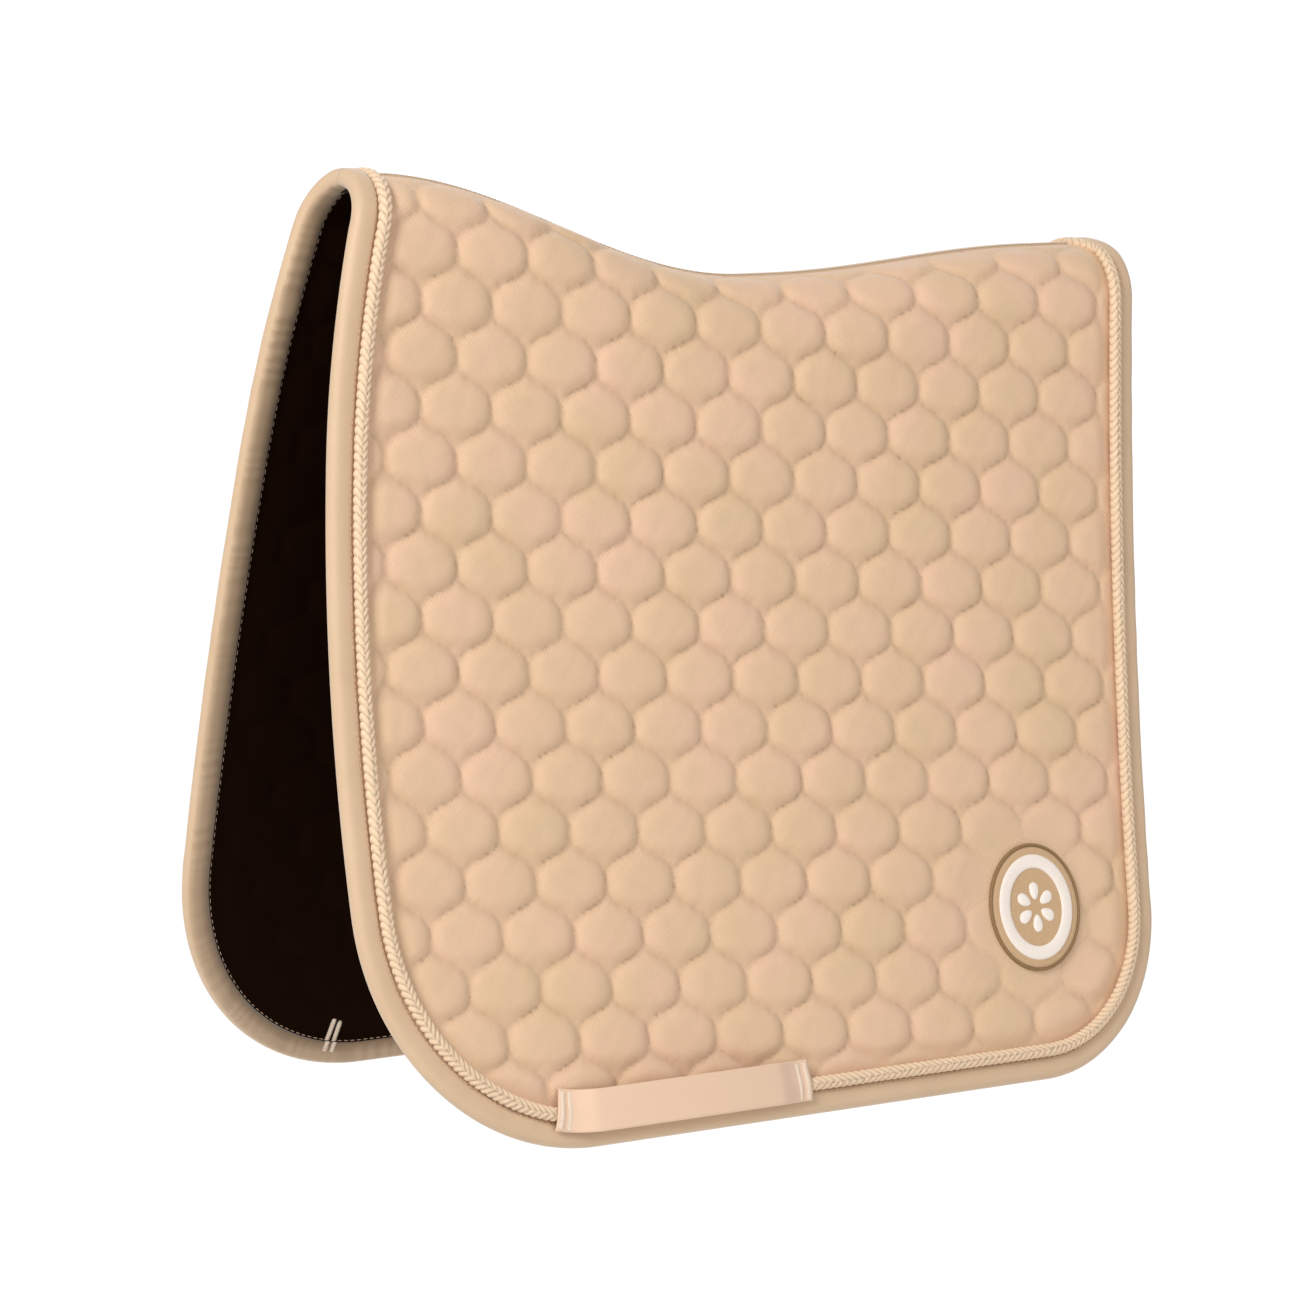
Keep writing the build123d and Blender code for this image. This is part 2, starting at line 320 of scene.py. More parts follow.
cell_pitch, row_pair = 47.0, 58.6  # one cell along a row, and two rows
row_fall = math.radians(5.8)
cell_start = (-54.0, 176.0)  # a point where the pattern repeats, along the back and down from the fold
wave_shape = 1.49  # how long the seams run side by side before they part
seam_softness = 3.8  # distance over which a cell swells up from its seam


def on_pattern(x, down):
    """Places in the quilting pattern, in cells along the rows and in pairs of rows down from the start."""
    across, fall = x - cell_start[0], down - cell_start[1]
    i = (across * math.cos(row_fall) + fall * math.sin(row_fall)) / cell_pitch
    j = (fall * math.cos(row_fall) - across * math.sin(row_fall)) / row_pair
    return i, j


def off_pattern(i, j):
    """Places along the back and down from the fold, from places in the quilting pattern."""
    x = cell_start[0] + i * cell_pitch * math.cos(row_fall) - j * row_pair * math.sin(row_fall)
    down = cell_start[1] + i * cell_pitch * math.sin(row_fall) + j * row_pair * math.cos(row_fall)
    return x, down


def seam_wave(j):
    """How far a seam swings to the side, from -1 to 1, on its way down the pattern."""
    return np.tanh(wave_shape * np.sin(2 * np.pi * j)) / math.tanh(wave_shape)


def seam_place(number, wave):
    """Place of a numbered seam along the rows. Every second seam swings the other way."""
    return (number + 0.5) / 2 + np.where(number % 2 == 0, 0.25, -0.25) * wave


def seam_distances(x, down):
    """Distances to the quilting seams on the left and on the right of each point."""
    i, j = on_pattern(x, down)
    phase, wave = 2 * np.pi * j, seam_wave(j)
    steepness = wave_shape * np.cos(phase) * (1 - np.tanh(wave_shape * np.sin(phase)) ** 2) * 2 * np.pi
    slope = 0.25 * steepness / math.tanh(wave_shape) * cell_pitch / row_pair
    first = np.floor(2 * i)
    gaps = []
    for number in (first - 1, first, first + 1):
        gaps.append((i - seam_place(number, wave)) * cell_pitch / np.sqrt(1 + slope**2))
    gaps = np.array(gaps)
    left = np.where(gaps > 0, gaps, 99).min(0)
    right = np.where(gaps <= 0, -gaps, 99).min(0)
    return left, right


def swell(x, down):
    """Height of the quilted cells, from 0 on a seam to about 1 in the middle of a cell."""
    left, right = seam_distances(x, down)
    return (1 - np.exp(-left / seam_softness)) * (1 - np.exp(-right / seam_softness))


def new_piece(name, bm):
    """An object for a finished bmesh, shaded smooth."""
    mesh = bpy.data.meshes.new(name)
    bm.to_mesh(mesh)
    bm.free()
    mesh.shade_smooth()
    made = bpy.data.objects.new(name, mesh)
    bpy.context.scene.collection.objects.link(made)
    return made


def sheet_grid(columns, rows):
    """A flat grid whose vertices run from 0 to 1 both ways, and those two places as arrays."""
    bm = bmesh.new()
    bmesh.ops.create_grid(bm, x_segments=columns, y_segments=rows, size=0.5)
    places = np.array([v.co for v in bm.verts]) + 0.5
    return bm, places[:, 0], places[:, 1]


def move(bm, points):
    """Puts the vertices of a bmesh at these points."""
    for vertex, point in zip(bm.verts, points):
        vertex.co = point


def lay_uv(bm, along, across):
    """Lays the surface out flat, in metres, as the UV map that the weaves follow."""
    uv = bm.loops.layers.uv.new("surface")
    flat = np.stack([along, across], -1) * MM
    for index, vertex in enumerate(bm.verts):
        vertex.index = index
    for face in bm.faces:
        for loop in face.loops:
            loop[uv].uv = flat[loop.vert.index]


def shade(bm, amount):
    """Keeps each vertex's painted shade, from 0 to 1, which darkens the cloth's colour in tucks and grooves
    where shade falls.
    """
    layer = bm.verts.layers.float.new("painted_shade")
    for vertex, value in zip(bm.verts, amount):
        vertex[layer] = value


def crossing(piece):
    """Bakes the piece's transform into its mesh."""
    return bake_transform(piece)


def panel(side, spacing, trim, height):
    """One side's panel, from the seam to trim inside the edge, at a height that a function gives."""
    x_start, x_end, deepest = front_x, rear_run + 2, 490.0
    tallest = deepest + 90  # the panel's height over the surface, where it is greatest
    bm, a, b = sheet_grid(round((x_end - x_start) / spacing), round(tallest / spacing))
    x = x_start + a * (x_end - x_start)
    top = -seam_run(x)
    down = top + b * (deepest - top)
    surface = on_pad(x, down, 0 * x, -1.0)
    inside = edge_distance(x, surface[:, 2] / MM)
    out = height(x, down, inside, side)
    move(bm, on_pad(x, down, out, sides[side]))
    lay_uv(bm, x, down)
    left, right = seam_distances(x, down)
    # Painted shade: the colour is darkened close to each quilting seam.
    shade(bm, np.exp(-np.minimum(left, right) / 1.8) * fullness(x, down, inside, side))
    outside = [v for v, depth in zip(bm.verts, inside) if depth < trim]
    bmesh.ops.delete(bm, geom=outside, context="VERTS")
    return bm


badge_low, badge_high = (np.array(corner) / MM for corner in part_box("badge_patch"))
badge_middle = (badge_low + badge_high) / 2
badge_x, badge_down = badge_middle[0], float(down_at(badge_middle[0], badge_middle[2]))
badge_half_length, badge_half_height = (badge_high - badge_low)[[0, 2]] / 2


def from_badge(x, down, side):
    """Distance from the badge's middle, 1 at its edge, and far away on the side that has none."""
    away = np.hypot((x - badge_x) / badge_half_length, (down - badge_down) / badge_half_height)
    return away + (9 if side == "far" else 0)


def fullness(x, down, inside, side):
    """1 where the quilting is full, falling to 0 under the trim, at the spine and round the badge."""
    off_badge = ease(from_badge(x, down, side), 1.0, 1.8)
    return ease(inside, 17, 34) * ease(down + seam_run(x), 3, 36) * off_badge


def pucker(x, down):
    """Small uneven creases, from -1 to 1, that the thread draws into the cloth beside a seam."""
    return np.sin(0.83 * x + 1.7 * np.sin(0.31 * down)) * np.sin(0.71 * down + 1.9 * np.sin(0.27 * x))


def cover_height(x, down, inside, side):
    """Cells stand proud of their seams. The cover dips at the spine and lies flat under the badge."""
    rest = -2.6 - 0.9 * np.exp(-(down + seam_run(x)) / 14) + 1.6 * (1 - ease(inside, 10, 24))
    rest += 2.2 * (1 - ease(from_badge(x, down, side), 0.9, 1.7))
    uneven = 1 + 0.13 * np.sin(x / 29 + 2.1 * np.sin(down / 41)) * np.sin(down / 26 + 1.7)
    near_seam = np.exp(-np.minimum(*seam_distances(x, down)) / 4.5)
    crease = 0.55 * near_seam * pucker(x, down) + 0.16 * pucker(x / 2.7, down / 2.7)
    return rest + (4.1 * uneven * swell(x, down) + crease) * fullness(x, down, inside, side)


covers = {}
for side in sides:
    bm = panel(side, 2.0, 5.0, cover_height)
    if side == "near":
        bmesh.ops.reverse_faces(bm, faces=bm.faces)
    covers[side] = new_piece(f"{side}_quilted_cover", bm)

# Satin-faced cotton twill: a fine diagonal rib with a soft sheen, dye that takes a little unevenly, and
# painted shade that darkens the cloth in the tucks beside each quilting seam. The rib is drawn coarse enough
# to show.
twill, tree, shader = material("cotton_satin_twill")
place = node(tree, "ShaderNodeUVMap", {"uv_map": "surface"}).outputs[0]
tint = node(tree, "ShaderNodeTexNoise", Vector=place, Scale=16.0, Detail=2.0).outputs["Fac"]
tints = node(tree, "ShaderNodeValToRGB", Fac=tint)
tints.color_ramp.elements[0].position, tints.color_ramp.elements[1].position = 0.35, 0.65
tints.color_ramp.elements[0].color = linear("#dcba94")
tints.color_ramp.elements[1].color = linear("#e2bb9c")
tree.links.new(with_painted_shade(tree, tints.outputs[0], "#a8845f", 0.25), shader.inputs["Base Color"])
shader.inputs["Roughness"].default_value = 0.72
shader.inputs["Sheen Weight"].default_value = 0.25
shader.inputs["Sheen Roughness"].default_value = 0.5
diagonal = {"bands_direction": "DIAGONAL"}
rib = node(tree, "ShaderNodeTexWave", diagonal, Vector=place, Scale=260.0, Distortion=1.5)
slub = node(tree, "ShaderNodeTexNoise", Vector=place, Scale=420.0, Detail=4.0).outputs["Fac"]
weave = node(tree, "ShaderNodeMath", {"operation": "ADD"}, _0=rib.outputs["Fac"], _1=slub).outputs[0]
bump = node(tree, "ShaderNodeBump", Height=weave, Strength=0.35, Distance=0.0003)
tree.links.new(bump.outputs[0], shader.inputs["Normal"])
for side, cover in covers.items():
    cover.data.materials.append(twill)
    crossing(cover)
    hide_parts(f"{side}_crest_cover", f"{side}_flap_cover")

# --------------------------------------------------------------------------------
# Wadding: one layer of polyester fibre between the cover and the lining, caught by the same
# quilting seams. It is a closed form, hidden by the layers on both sides of it.

# Polyester wadding: matt white fibre, a little cloudy.
polyester_wadding, tree, shader = material("polyester_wadding")
shader.inputs["Roughness"].default_value = 1.0
place = node(tree, "ShaderNodeTexCoord").outputs["Object"]
fibre = node(tree, "ShaderNodeTexNoise", Vector=place, Scale=400.0, Detail=4.0).outputs["Fac"]
whites = node(tree, "ShaderNodeValToRGB", Fac=fibre)
whites.color_ramp.elements[0].color = linear("#d8d6d0")
whites.color_ramp.elements[1].color = linear("#f4f2ee")
tree.links.new(whites.outputs[0], shader.inputs["Base Color"])


def wadding_front(x, down, inside, side):
    """Just behind the cover."""
    return -4.4 + 2.4 * swell(x, down) * fullness(x, down, inside, side)


def wadding_back(x, down, inside, side):
    """Just in front of the lining."""
    return -6.4 - 0.8 * swell(x, down) * fullness(x, down, inside, side)


for side in sides:
    bm = panel(side, 5.0, 7.0, wadding_front)
    back = bpy.data.meshes.new("wadding_back")
    bm_back = panel(side, 5.0, 7.0, wadding_back)
    bm_back.to_mesh(back)
    bm_back.free()
    bm.from_mesh(back)
    rims = [edge for edge in bm.edges if edge.is_boundary]
    bmesh.ops.bridge_loops(bm, edges=rims)
    bmesh.ops.recalc_face_normals(bm, faces=bm.faces)
    wadding = new_piece(f"{side}_wadding", bm)
    wadding.data.materials.append(polyester_wadding)
    crossing(wadding)
    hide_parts(f"{side}_crest_filling", f"{side}_flap_filling")

# --------------------------------------------------------------------------------
# Lining: a dark brown brushed cotton on the horse's side, quilted through with the cover, so it
# swells between the same seams.


def lining_height(x, down, inside, side):
    """The cover's cells again, less full, because the lining is pulled tight over the wadding."""
    at_spine = 1 - ease(down + seam_run(x), 12, 26)
    return -8.2 - 1.7 * swell(x, down) * fullness(x, down, inside, side) - 1.1 * at_spine


# Brushed cotton: a short raised nap with no gloss, so the dark dye swallows almost all the light.
brushed_cotton, tree, shader = material("brushed_cotton_lining")
shader.inputs["Base Color"].default_value = linear("#190901")
shader.inputs["Roughness"].default_value = 1.0
shader.inputs["Specular IOR Level"].default_value = 0.05
place = node(tree, "ShaderNodeUVMap", {"uv_map": "surface"}).outputs[0]
nap = node(tree, "ShaderNodeTexNoise", Vector=place, Scale=900.0, Detail=3.0).outputs["Fac"]
bump = node(tree, "ShaderNodeBump", Height=nap, Strength=0.3, Distance=0.0004)
tree.links.new(bump.outputs[0], shader.inputs["Normal"])
for side in sides:
    bm = panel(side, 2.6, 5.0, lining_height)
    if side == "far":
        bmesh.ops.reverse_faces(bm, faces=bm.faces)
    lining = new_piece(f"{side}_lining", bm)
    lining.data.materials.append(brushed_cotton)
    crossing(lining)
    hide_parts(f"{side}_crest_lining", f"{side}_flap_lining")

# --------------------------------------------------------------------------------
# Edge binding: a bias strip of smooth satin, folded over the raw edge of each side from the seam's
# front end round to its rear end. It puckers a little inside the tight bend at the crest.


crest_places, settling_rounds = 160, 12  # on each crest stretch of the edge, and how often they are refined


def edge_line(inset, spacing):
    """Places along a line at a distance inside the edge, from the seam's front end round to its rear end."""
    line = outline + inward * inset
    low = np.flatnonzero(line[:, 1] < fold_height)
    flap = line[low[0] : low[-1] + 1]
    xs, downs = [flap[:, 0]], [down_at(flap[:, 0], flap[:, 1])]
    for stretch, rising in ((line[: low[0] + 1][::-1], False), (line[low[-1] :], True)):
        share = np.linspace(0.001, 1, crest_places)
        x = np.full(crest_places, stretch[0, 0])
        for _ in range(settling_rounds):
            down = -share * seam_run(x)
            height = on_pad(x, down, 0 * x, -1.0)[:, 2] / MM
            x = np.interp(height, stretch[:, 1], stretch[:, 0])
        if rising:
            xs, downs = xs + [x], downs + [down]
        else:
            xs, downs = [x[::-1]] + xs, [down[::-1]] + downs
    x, down = np.concatenate(xs), np.concatenate(downs)
    points = on_pad(x, down, 0 * x, -1.0) / MM
    run = np.concatenate([[0], np.cumsum(np.linalg.norm(np.diff(points, axis=0), axis=1))])
    even = np.linspace(0, run[-1], round(run[-1] / spacing) + 1)
    return np.interp(even, run, x), np.interp(even, run, down)


flap_middle = (-50.0, 180.0)  # along the back and down from the fold


def line_frame(x, down, side):
    """A line on the pad: its points, the way off the surface, the way into the pad and the distance run."""
    points = on_pad(x, down, 0 * x, side) / MM
    off = on_pad(x, down, 0 * x + 1, side) / MM - points
    along = np.gradient(points, axis=0)
    along /= np.linalg.norm(along, axis=1)[:, None]
    into = np.cross(along, off)
    middle = on_pad(np.array(flap_middle[:1]), np.array(flap_middle[1:]), np.zeros(1), side)[0] / MM
    into *= np.sign((into * (middle - points)).sum(1))[:, None]
    steps = np.linalg.norm(np.diff(points, axis=0), axis=1)
    return points, off, into, np.concatenate([[0], np.cumsum(steps)])


def sweep(name, line, side, profile):
    """A closed strip or tube along a line. profile gives its inset, height and painted shade, all the way
    round it.
    """
    x, down = line
    points, off, into, run = line_frame(x, down, sides[side])
    count = profile(run[:1, None], down[:1, None])[0].shape[1]
    bm, a, b = sheet_grid(len(x) - 1, count)
    row = np.rint(a * (len(x) - 1)).astype(int)
    station = np.rint(b * count).astype(int) % count
    inset, height, painted_shade = (values[row, station] for values in profile(run[:, None], down[:, None]))
    move(bm, (points[row] + into[row] * inset[:, None] + off[row] * height[:, None]) * MM)
    lay_uv(bm, run[row], b * count)
    shade(bm, painted_shade)
    bmesh.ops.remove_doubles(bm, verts=bm.verts, dist=1e-6)
    open_edges = [edge for edge in bm.edges if edge.is_boundary]
    bmesh.ops.holes_fill(bm, edges=open_edges, sides=count + 1)
    bmesh.ops.recalc_face_normals(bm, faces=bm.faces)
    return new_piece(name, bm)


# The strip's section, as insets from the edge and heights off the cover's face: over the cover, round
# the edge and back over the lining on the outside, and the same way back on the inside.
binding_width, lining_width = 13.2, 15.0
edge_middle, nose_depth = -4.75, 5.0
nose = np.linspace(math.pi / 2, -math.pi / 2, 11)
outer_nose = nose_depth - nose_depth * np.cos(nose)
inner_nose = nose_depth - 3.8 * np.cos(nose[::-1])
outer_side = np.concatenate([[binding_width, 13.0, 11.0, 8.0], outer_nose, [8.0, 11.0, 14.0, lining_width]])
outer_nose_rise = edge_middle + 5.35 * np.sin(nose)
outer_rise = np.concatenate([[-1.6, -0.4, 0.3, 0.6], outer_nose_rise, [-10.2, -10.0, -9.5, -8.4]])
inner_side = np.concatenate([[14.2, 8.0], inner_nose, [8.0, 12.4]])
inner_rise = np.concatenate([[-8.2, -8.9], edge_middle + 4.1 * np.sin(nose[::-1]), [-0.7, -1.6]])
binding_inset = np.concatenate([outer_side, inner_side])
binding_rise = np.concatenate([outer_rise, inner_rise])
on_outside = np.arange(len(binding_inset)) < len(outer_side)
lining_leg = np.clip(-(binding_rise + 6) / 3, 0, 1) * ((binding_inset > 2) & on_outside)


def binding_profile(run, down):
    """The folded strip, with small cross-wise puckers that deepen on the lining side near the crest."""
    gather = np.sin(run / 1.5 + 3.1 * np.sin(run / 9.7) + 1.3 * np.sin(run / 4.3) + binding_inset * 0.14)
    gather *= 0.6 + 0.4 * np.sin(run / 13.0 + 2.2 * np.sin(run / 31.0))
    slow = np.sin(run / 7.3 + 2.0 * np.sin(run / 23.0))
    tight = np.exp(-np.abs(down + 20) / 55)
    pleat = lining_leg * (0.12 + 0.75 * tight) * (0.5 + 0.5 * gather)
    rise = binding_rise - pleat + 0.15 * slow * (binding_rise > -3)
    # Painted shade on the lining-side leg: darker towards its inner edge, where shadow falls, and in the
    # hollows between the puckers.
    shadow = 0.16 + 0.84 * ease(binding_inset, 6, 15)
    painted_underside_shade = lining_leg * shadow + 0.3 * (0.5 - 0.5 * gather) * lining_leg
    return binding_inset + 0 * run, rise, np.clip(painted_underside_shade + 0 * run, 0, 1)


# Satin cut on the bias: smooth, a little glossier and greyer than the cover, with patches where the
# bias stretches, and painted shade where it is turned under the lining's edge.
satin_bias, tree, shader = material("satin_bias_binding")
shader.inputs["Roughness"].default_value = 0.55
shader.inputs["Sheen Weight"].default_value = 0.3
place = node(tree, "ShaderNodeUVMap", {"uv_map": "surface"}).outputs[0]
sheen_patch = node(tree, "ShaderNodeTexNoise", Vector=place, Scale=22.0, Detail=2.0).outputs["Fac"]
satins = node(tree, "ShaderNodeValToRGB", Fac=sheen_patch)
satins.color_ramp.elements[0].color = linear("#cbab88")
satins.color_ramp.elements[1].color = linear("#d6b796")
tree.links.new(with_painted_shade(tree, satins.outputs[0], "#7d6144", 0.75), shader.inputs["Base Color"])
rib = node(tree, "ShaderNodeTexWave", diagonal, Vector=place, Scale=330.0, Distortion=1.0)
bump = node(tree, "ShaderNodeBump", Height=rib.outputs["Fac"], Strength=0.2, Distance=0.0002)
tree.links.new(bump.outputs[0], shader.inputs["Normal"])
edge = edge_line(0.0, 2.0)
for side in sides:
    binding = sweep(f"{side}_binding", edge, side, binding_profile)
    binding.data.materials.append(satin_bias)
    crossing(binding)
    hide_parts(f"{side}_flap_binding", "front_crest_binding", "rear_crest_binding")

# --------------------------------------------------------------------------------
# Braided cord: a plaited decorative cord, about 8 mm across, sewn on just inside the binding. Its
# strands cross in a herringbone along the top.

cord_inset, cord_rise, cord_half_width, cord_half_height = 17.3, 1.3, 3.5, 3.0
loop_front, loop_rear = -247.0, -66.0  # the girth loop lies over the cord between these
seam_dip = 3.8  # how much lower the cord lies where it crosses the spine seam
plait_pitch = 4.8  # one strand to the next on the same side
strand_slant = 0.85  # strands that a strand passes from the cord's side to its middle
strand_height = 1.15
around = np.concatenate([np.linspace(-0.12, 1.12, 21), [1.3, 1.5, 1.7]]) * math.pi


def under_webbing(run):
    """1 where the girth loop's sewn webbing presses the cord flat, and 0 away from it."""
    x = np.interp(run, cord_run, cord_line[0])
    behind_front = ease(x, loop_front - 3, loop_front + 3)
    return behind_front * (1 - ease(x, loop_rear - 3, loop_rear + 3))


def cord_profile(run, down):
    """An oval whose top is ridged by slanting strands that meet along the middle."""
    across = np.cos(around) - 0.12 * np.sin(run / 47) - 0.1 * np.sin(run / 17)
    half_step = 0.5 * (across > 0)
    strand = np.abs(np.sin(math.pi * (run / plait_pitch + strand_slant * np.abs(across) + half_step)))
    middle = np.exp(-((across / 0.13) ** 2))
    ridge = strand_height * (strand**0.55 - 0.5) - 0.5 * middle
    dip = seam_dip * np.exp(-((np.minimum(run, run.max() - run) / 24) ** 2))
    pressed = 1 - 0.45 * under_webbing(run)
    inset = cord_inset + (cord_half_width + ridge) * np.cos(around)
    height = cord_rise - dip + (cord_half_height + ridge) * np.sin(around) * pressed
    # Painted shade: darker between the strands and along the middle where they meet.
    return inset, height, np.clip(1 - 1.6 * strand**0.55 + 0.6 * middle, 0, 1)


# Plaited mercerised cotton: paler than the cover, with a silky gloss on each strand and painted shade between
# them.
plaited_cotton, tree, shader = material("plaited_mercerised_cotton")
shader.inputs["Roughness"].default_value = 0.55
shader.inputs["Sheen Weight"].default_value = 0.3
place = node(tree, "ShaderNodeUVMap", {"uv_map": "surface"}).outputs[0]
thread = node(tree, "ShaderNodeTexNoise", Vector=place, Scale=500.0, Detail=2.0).outputs["Fac"]
creams = node(tree, "ShaderNodeValToRGB", Fac=thread)
creams.color_ramp.elements[0].color = linear("#dcbc98")
creams.color_ramp.elements[1].color = linear("#efd4b4")
tree.links.new(with_painted_shade(tree, creams.outputs[0], "#8a6a4c", 0.7), shader.inputs["Base Color"])
cord_line = edge_line(0.0, 0.62)
cord_run = line_frame(*cord_line, -1.0)[3]
for side in sides:
    cord = sweep(f"{side}_cord", cord_line, side, cord_profile)
    cord.data.materials.append(plaited_cotton)
    crossing(cord)
    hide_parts(f"{side}_crest_cords", f"{side}_flap_cord")

# --------------------------------------------------------------------------------
# Girth loop: smooth woven webbing, sewn over the cord at both ends, with a little slack between.

loop_inset, loop_half_width = 20.0, 12.0
webbing_thickness, tab_length, loop_slack = 1.6, 14.0, 6.5
flat_of_webbing = np.linspace(-0.97, 0.97, 17)
loop_across = np.concatenate([flat_of_webbing, [1.0, 1.0], -flat_of_webbing, [-1.0, -1.0]])
loop_top = np.concatenate([np.ones(17), [0.7, 0.3], np.zeros(17), [0.3, 0.7]])


def webbing_underside(inset, run):
    """Height of the webbing, which hugs the cord under each sewn end and bows out between them."""
    length = loop_rear - loop_front
    free = ease(np.minimum(run, length - run), 6, tab_length + 14)
    hugging = 1.7 + 1.9 * np.exp(-(((inset - cord_inset) / 8.0) ** 2))
    bowed = 6.0 + loop_slack * (1 - (2 * run / length - 1) ** 2) - 0.07 * (inset - loop_inset)
    return hugging * (1 - free) + bowed * free


def loop_profile(run, down):
    """The webbing's section, with rounded edges."""
    inset = loop_inset + loop_half_width * loop_across
    height = webbing_underside(inset, run) + webbing_thickness * loop_top
    return inset + 0 * run, height, 0 * height


# Woven cotton webbing: close and smooth, with fine ribs across it and a slightly pink cast.
woven_webbing, tree, shader = material("woven_cotton_webbing")
shader.inputs["Base Color"].default_value = linear("#e6c3a6")
shader.inputs["Roughness"].default_value = 0.5
shader.inputs["Sheen Weight"].default_value = 0.3
place = node(tree, "ShaderNodeUVMap", {"uv_map": "surface"}).outputs[0]
rib = node(tree, "ShaderNodeTexWave", {"bands_direction": "X"}, Vector=place, Scale=260.0)
bump = node(tree, "ShaderNodeBump", Height=rib.outputs["Fac"], Strength=0.12, Distance=0.0002)
tree.links.new(bump.outputs[0], shader.inputs["Normal"])
edge_x, edge_down = edge_line(0.0, 1.0)
under_loop = (edge_x > loop_front) & (edge_x < loop_rear)
loop_line = edge_x[under_loop], edge_down[under_loop]
for side in sides:
    loop = sweep(f"{side}_girth_loop", loop_line, side, loop_profile)
    loop.data.materials.append(woven_webbing)
    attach(loop, f"{side}_flap")
    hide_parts(f"{side}_girth_loop")

# --------------------------------------------------------------------------------
# Spine seam: the two halves meet along the back under a narrow satin band, and a woven tape covers
# the same seam inside. The band's edges are turned under and stitched down.

band_half_width, band_crown, band_foot = 4.5, -1.9, -4.2  # heights off the pad's outer face
band_front, band_rear = -280.0, 233.0
across_top = np.linspace(-1, 1, 15)
band_across = np.concatenate([across_top, [0.9, 0.0, -0.9]]) * band_half_width
band_rise = np.concatenate([band_crown - 1.3 * across_top**6, [band_foot] * 3])


def beside_seam(x, across, out):
    """Points a short way to the off side of the spine seam, or to the near side where across is negative."""
    down = np.abs(across) - seam_run(x)
    near, off_side = on_pad(x, down, out, -1.0), on_pad(x, down, out, 1.0)
    return np.where((across < 0)[:, None], near, off_side)


bm, a, b = sheet_grid(260, len(band_across))
station = np.rint(b * len(band_across)).astype(int) % len(band_across)
x = band_front + a * (band_rear - band_front)
stitched = 0.35 * np.exp(-(((np.abs(band_across[station]) - 3.2) / 0.5) ** 2))
move(bm, beside_seam(x, band_across[station], band_rise[station] - stitched))
lay_uv(bm, x, band_across[station])
# Painted shade: the band is darkened in the stitched grooves along its edges.
shade(bm, 2.4 * stitched)
bmesh.ops.remove_doubles(bm, verts=bm.verts, dist=1e-6)
bmesh.ops.holes_fill(bm, edges=[edge for edge in bm.edges if edge.is_boundary], sides=40)
bmesh.ops.recalc_face_normals(bm, faces=bm.faces)
band = new_piece("spine_band", bm)
band.data.materials.append(satin_bias)
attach(band, "crest")
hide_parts("spine_seam_band")

# Herringbone cotton tape: matt dark brown, with a slanting weave. The tape keeps its plain shape.
herringbone_tape, tree, shader = material("herringbone_cotton_tape")
shader.inputs["Roughness"].default_value = 0.9
place = node(tree, "ShaderNodeTexCoord").outputs["Object"]
weave = node(tree, "ShaderNodeTexWave", diagonal, Vector=place, Scale=260.0)
browns = node(tree, "ShaderNodeValToRGB", Fac=weave.outputs["Fac"])
browns.color_ramp.elements[0].color = linear("#1d120a")
browns.color_ramp.elements[1].color = linear("#33241a")
tree.links.new(browns.outputs[0], shader.inputs["Base Color"])
bump = node(tree, "ShaderNodeBump", Height=weave.outputs["Fac"], Strength=0.3, Distance=0.0003)
tree.links.new(bump.outputs[0], shader.inputs["Normal"])
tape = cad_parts["spine_tape"]
for slot in tape.material_slots:
    slot.material = herringbone_tape

# --------------------------------------------------------------------------------
# Stitching: polyester thread, sunk a little into the cloth. The quilting seams go through every
# layer, the binding is sewn down on both faces, and the spine band has a row along each edge.

# Polyester sewing thread: twisted, faintly glossy, and dyed to match the cover.
sewing_thread, tree, shader = material("polyester_sewing_thread")
shader.inputs["Roughness"].default_value = 0.45
shader.inputs["Sheen Weight"].default_value = 0.2
place = node(tree, "ShaderNodeTexCoord").outputs["Object"]
twist = node(tree, "ShaderNodeTexNoise", Vector=place, Scale=900.0, Detail=1.0).outputs["Fac"]
threads = node(tree, "ShaderNodeValToRGB", Fac=twist)
threads.color_ramp.elements[0].color = linear("#d2ae8b")
threads.color_ramp.elements[1].color = linear("#e8c8a6")
tree.links.new(threads.outputs[0], shader.inputs["Base Color"])

one_stitch = bmesh.new()
bmesh.ops.create_uvsphere(one_stitch, u_segments=6, v_segments=4, radius=0.5)
stitch_shape = np.array([vertex.co for vertex in one_stitch.verts])
stitch_mesh = bpy.data.meshes.new("one_stitch")
one_stitch.to_mesh(stitch_mesh)
one_stitch.free()


def stitches(bm, middles, along, off, length, thickness):
    """Adds a rounded stitch at each place, in metres, lying along a direction on a surface."""
    along = along / np.linalg.norm(along, axis=1)[:, None]
    across = np.cross(off, along)
    off = np.cross(along, across)
    for middle, ahead, beside, up in zip(middles, along, across, off):
        turn = np.stack([ahead * length, beside * thickness, up * thickness * 0.7])
        stitch_mesh.vertices.foreach_set("co", (stitch_shape @ turn * MM + middle).ravel())
        bm.from_mesh(stitch_mesh)


def along_line(run, values, at):
    """Values that are known along a line, at other distances along it."""
    return np.stack([np.interp(at, run, values[:, k]) for k in range(3)], -1)


def stitched_line(bm, x, down, height, side, pitch, length, thickness):
    """A row of stitches along a line on the pad."""
    points = on_pad(x, down, height, side)
    off = (on_pad(x, down, height + 1, side) - points) / MM
    run = np.concatenate([[0], np.cumsum(np.linalg.norm(np.diff(points, axis=0), axis=1))]) / MM
    at = np.arange(pitch / 2, run[-1], pitch)
    middles = along_line(run, points, at)
    ahead = along_line(run, points, at + 0.5) - middles
    stitches(bm, middles, ahead, along_line(run, off, at), length, thickness)


def add_thread(name, bm, yarn):
    """Finishes a piece made of stitches."""
    thread = new_piece(name, bm)
    thread.data.materials.append(yarn)
    return thread


